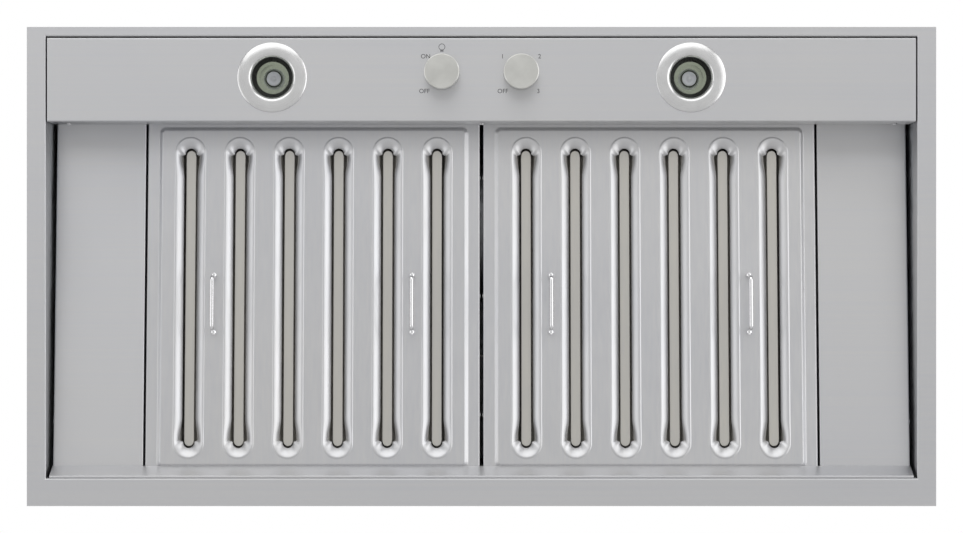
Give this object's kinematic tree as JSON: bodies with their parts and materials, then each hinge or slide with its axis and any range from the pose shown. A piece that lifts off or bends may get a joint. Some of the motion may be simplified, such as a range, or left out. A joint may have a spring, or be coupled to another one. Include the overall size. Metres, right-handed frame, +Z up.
{
  "type": "range hood insert",
  "caption": "Built-in range hood liner insert: flanged steel shell with control panel, reflector lamps, baffle filters with wire handles, blower and round duct collar.",
  "frame": {"origin": "centre of the mounting flange, on the plane of its upper face, which lies against the underside of the cabinet", "axes": "+Z up towards the duct, -Y towards the user and the control panel, +X to the user's right; pictured looking along +Z"},
  "size_m": [1.152, 0.607, 0.387],
  "materials": {
    "stainless": "brushed stainless sheet",
    "galvanised": "galvanised sheet",
    "chrome_wire": "polished",
    "satin_trim": "satin",
    "knob_metal": "turned and brushed",
    "reflector": "faceted reflector glass",
    "ceramic": "unglazed",
    "black_plastic": "moulded",
    "zinc": "zinc plated",
    "flap_aluminium": "mill finish",
    "motor_enamel": "baked enamel",
    "capacitor_case": "moulded"
  },
  "bodies": {
    "hood": {"blower_left_plate": "galvanised", "blower_right_plate": "galvanised", "blower_scroll": "galvanised", "cable_gland": "black_plastic", "capacitor": "capacitor_case", "capacitor_clamp": "zinc", "control_panel": "stainless", "damper_rod": "zinc", "duct_collar": "galvanised", "fan_switch": "black_plastic", "fan_switch_nut": "zinc", "flange_frame": "stainless", "front_wall": "galvanised", "junction_box": "galvanised", "junction_cover": "galvanised", "junction_cover_screws": "zinc", "left_filler": "stainless", "left_lamp": "reflector", "left_lamp_can": "galvanised", "left_lamp_holder": "ceramic", "left_lamp_trim": "satin_trim", "left_wall": "galvanised", "light_switch": "black_plastic", "light_switch_nut": "zinc", "motor": "motor_enamel", "motor_bracket": "galvanised", "panel_screws": "stainless", "panel_straps": "galvanised", "rear_ledge": "stainless", "rear_wall": "galvanised", "right_filler": "stainless", "right_lamp": "reflector", "right_lamp_can": "galvanised", "right_lamp_holder": "ceramic", "right_lamp_trim": "satin_trim", "right_wall": "galvanised", "top_panel": "galvanised", "top_screws": "zinc", "top_skirt": "galvanised", "wiring_panel": "galvanised"},
    "left_filter": {"left_filter_face": "stainless", "left_filter_rear_pan": "stainless", "left_filter_rivets": "stainless", "left_filter_lugs": "stainless"},
    "left_outer_bail": {"left_filter_outer_bail": "chrome_wire"},
    "left_inner_bail": {"left_filter_inner_bail": "chrome_wire"},
    "right_filter": {"right_filter_face": "stainless", "right_filter_rear_pan": "stainless", "right_filter_rivets": "stainless", "right_filter_lugs": "stainless"},
    "right_outer_bail": {"right_filter_outer_bail": "chrome_wire"},
    "right_inner_bail": {"right_filter_inner_bail": "chrome_wire"},
    "light_control": {"light_knob": "knob_metal", "light_switch_shaft": "zinc"},
    "fan_control": {"fan_knob": "knob_metal", "fan_switch_shaft": "zinc"},
    "blower_rotor": {"impeller": "galvanised", "blower_axle": "zinc"},
    "front_flap": {"front_damper_flap": "flap_aluminium"},
    "rear_flap": {"rear_damper_flap": "flap_aluminium"}
  },
  "joints": [
    {"name": "left_filter_lift", "type": "hinge", "parent": "hood", "child": "left_filter", "pos_m": [-0.2162, -0.19247, 0.0627], "axis": [1, 0, 0], "range_deg": [0, 6]},
    {"name": "left_outer_bail_swing", "type": "hinge", "parent": "left_filter", "child": "left_outer_bail", "pos_m": [-0.34324, 0.04752, 0.03813], "axis": [0, 0.997, -0.0775], "range_deg": [-85, 85]},
    {"name": "left_inner_bail_swing", "type": "hinge", "parent": "left_filter", "child": "left_inner_bail", "pos_m": [-0.08916, 0.04752, 0.03813], "axis": [0, 0.997, -0.0775], "range_deg": [-85, 85]},
    {"name": "right_filter_lift", "type": "hinge", "parent": "hood", "child": "right_filter", "pos_m": [0.2162, -0.19247, 0.0627], "axis": [1, 0, 0], "range_deg": [0, 6]},
    {"name": "right_outer_bail_swing", "type": "hinge", "parent": "right_filter", "child": "right_outer_bail", "pos_m": [0.34324, 0.04752, 0.03813], "axis": [0, 0.997, -0.0775], "range_deg": [-85, 85]},
    {"name": "right_inner_bail_swing", "type": "hinge", "parent": "right_filter", "child": "right_inner_bail", "pos_m": [0.08916, 0.04752, 0.03813], "axis": [0, 0.997, -0.0775], "range_deg": [-85, 85]},
    {"name": "light_control_turn", "type": "hinge", "parent": "hood", "child": "light_control", "pos_m": [-0.0502, -0.246, -0.002], "axis": [0, 0, 1], "range_deg": [0, 270]},
    {"name": "fan_control_turn", "type": "hinge", "parent": "hood", "child": "fan_control", "pos_m": [0.0502, -0.246, -0.002], "axis": [0, 0, 1], "range_deg": [0, 270]},
    {"name": "blower_spin", "type": "hinge", "parent": "hood", "child": "blower_rotor", "pos_m": [0, -0.0655, 0.1938], "axis": [1, 0, 0], "continuous": true},
    {"name": "front_flap_swing", "type": "hinge", "parent": "hood", "child": "front_flap", "pos_m": [0, -0.0115, 0.341], "axis": [-1, 0, 0], "range_deg": [0, 75]},
    {"name": "rear_flap_swing", "type": "hinge", "parent": "hood", "child": "rear_flap", "pos_m": [0, -0.0115, 0.341], "axis": [1, 0, 0], "range_deg": [0, 75]}
  ]
}
